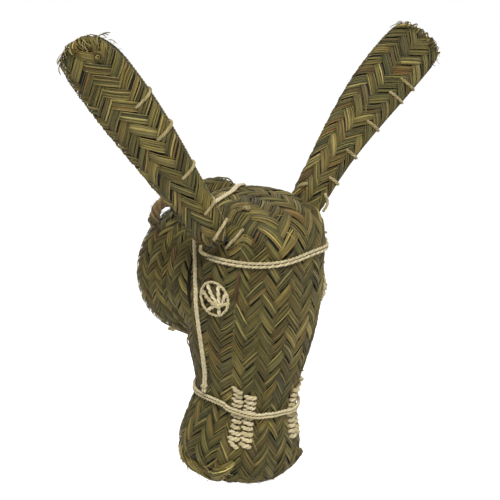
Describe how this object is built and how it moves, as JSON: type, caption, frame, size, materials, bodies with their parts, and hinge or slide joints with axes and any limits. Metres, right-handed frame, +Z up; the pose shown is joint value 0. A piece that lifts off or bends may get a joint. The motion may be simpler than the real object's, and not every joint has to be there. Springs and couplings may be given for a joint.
{
  "type": "woven wall-hung donkey head",
  "caption": "Hollow donkey head of braided esparto grass on a short open neck that stands flat on a wall, with long plaited ears, a cord halter, sewn eyes and nostrils, and a rope loop.",
  "frame": {"origin": "top of the neck's open rim, in the plane of the wall", "axes": "+Y out of the neck's rim into the wall, +Z up, the face looks along -Y and the animal's right side is -X"},
  "size_m": [0.5026, 0.2357, 0.5566],
  "materials": {
    "esparto_plait": "dried olive grass blades, plaited, satin and uneven",
    "sewing_cord": "pale twisted grass cord, matte",
    "cream_cord": "cream two-ply jute or sisal cord, matte and slightly hairy",
    "brown_grass_rope": "orange-brown twisted grass, satin"
  },
  "bodies": {
    "head": {"back_band": "esparto_plait", "brow_tuft": "brown_grass_rope", "browband_lower_cord": "cream_cord", "browband_upper_cord": "cream_cord", "crown_cap": "esparto_plait", "crown_knot": "sewing_cord", "face_band": "esparto_plait", "headstall_cord": "cream_cord", "left_back_seam_cord": "sewing_cord", "left_cheek_band": "esparto_plait", "left_ear_inner_stitch": "sewing_cord", "left_ear_outer_stitch": "sewing_cord", "left_eye_ring": "cream_cord", "left_eye_spokes": "cream_cord", "left_face_seam_cord": "sewing_cord", "left_nostril_back_stitches": "cream_cord", "left_nostril_front_stitches": "cream_cord", "loop_left_staple": "sewing_cord", "loop_right_staple": "sewing_cord", "lower_lip_roll": "esparto_plait", "muzzle_sole_coil": "esparto_plait", "neck_head_band": "esparto_plait", "neck_knot": "sewing_cord", "neck_seam_cord": "sewing_cord", "neck_wall_band": "esparto_plait", "noseband_lower_cord": "cream_cord", "noseband_upper_cord": "cream_cord", "poll_fold": "esparto_plait", "right_back_seam_cord": "sewing_cord", "right_cheek_band": "esparto_plait", "right_ear_inner_stitch": "sewing_cord", "right_ear_outer_stitch": "sewing_cord", "right_eye_ring": "cream_cord", "right_eye_spokes": "cream_cord", "right_face_seam_cord": "sewing_cord", "right_nostril_back_stitches": "cream_cord", "right_nostril_front_stitches": "cream_cord", "upper_lip_band": "esparto_plait"},
    "right_ear": {"right_ear_plait": "esparto_plait", "right_ear_seam_cord": "sewing_cord"},
    "left_ear": {"left_ear_plait": "esparto_plait", "left_ear_seam_cord": "sewing_cord"},
    "loop": {"hanging_loop": "brown_grass_rope"}
  },
  "joints": [
    {"name": "right_ear_flex", "type": "hinge", "parent": "head", "child": "right_ear", "pos_m": [-0.08205, -0.18561, -0.01289], "axis": [0.5635, -0.6715, 0.4812], "range_deg": [-14, 14]},
    {"name": "left_ear_flex", "type": "hinge", "parent": "head", "child": "left_ear", "pos_m": [0.06171, -0.16754, 0.02786], "axis": [0.6813, -0.3623, -0.636], "range_deg": [-14, 14]},
    {"name": "hanging_loop_swing", "type": "hinge", "parent": "head", "child": "loop", "pos_m": [-0.05202, -0.02, -0.0047], "axis": [0.8192, 0, 0.5736], "range_deg": [-35, 70]}
  ]
}
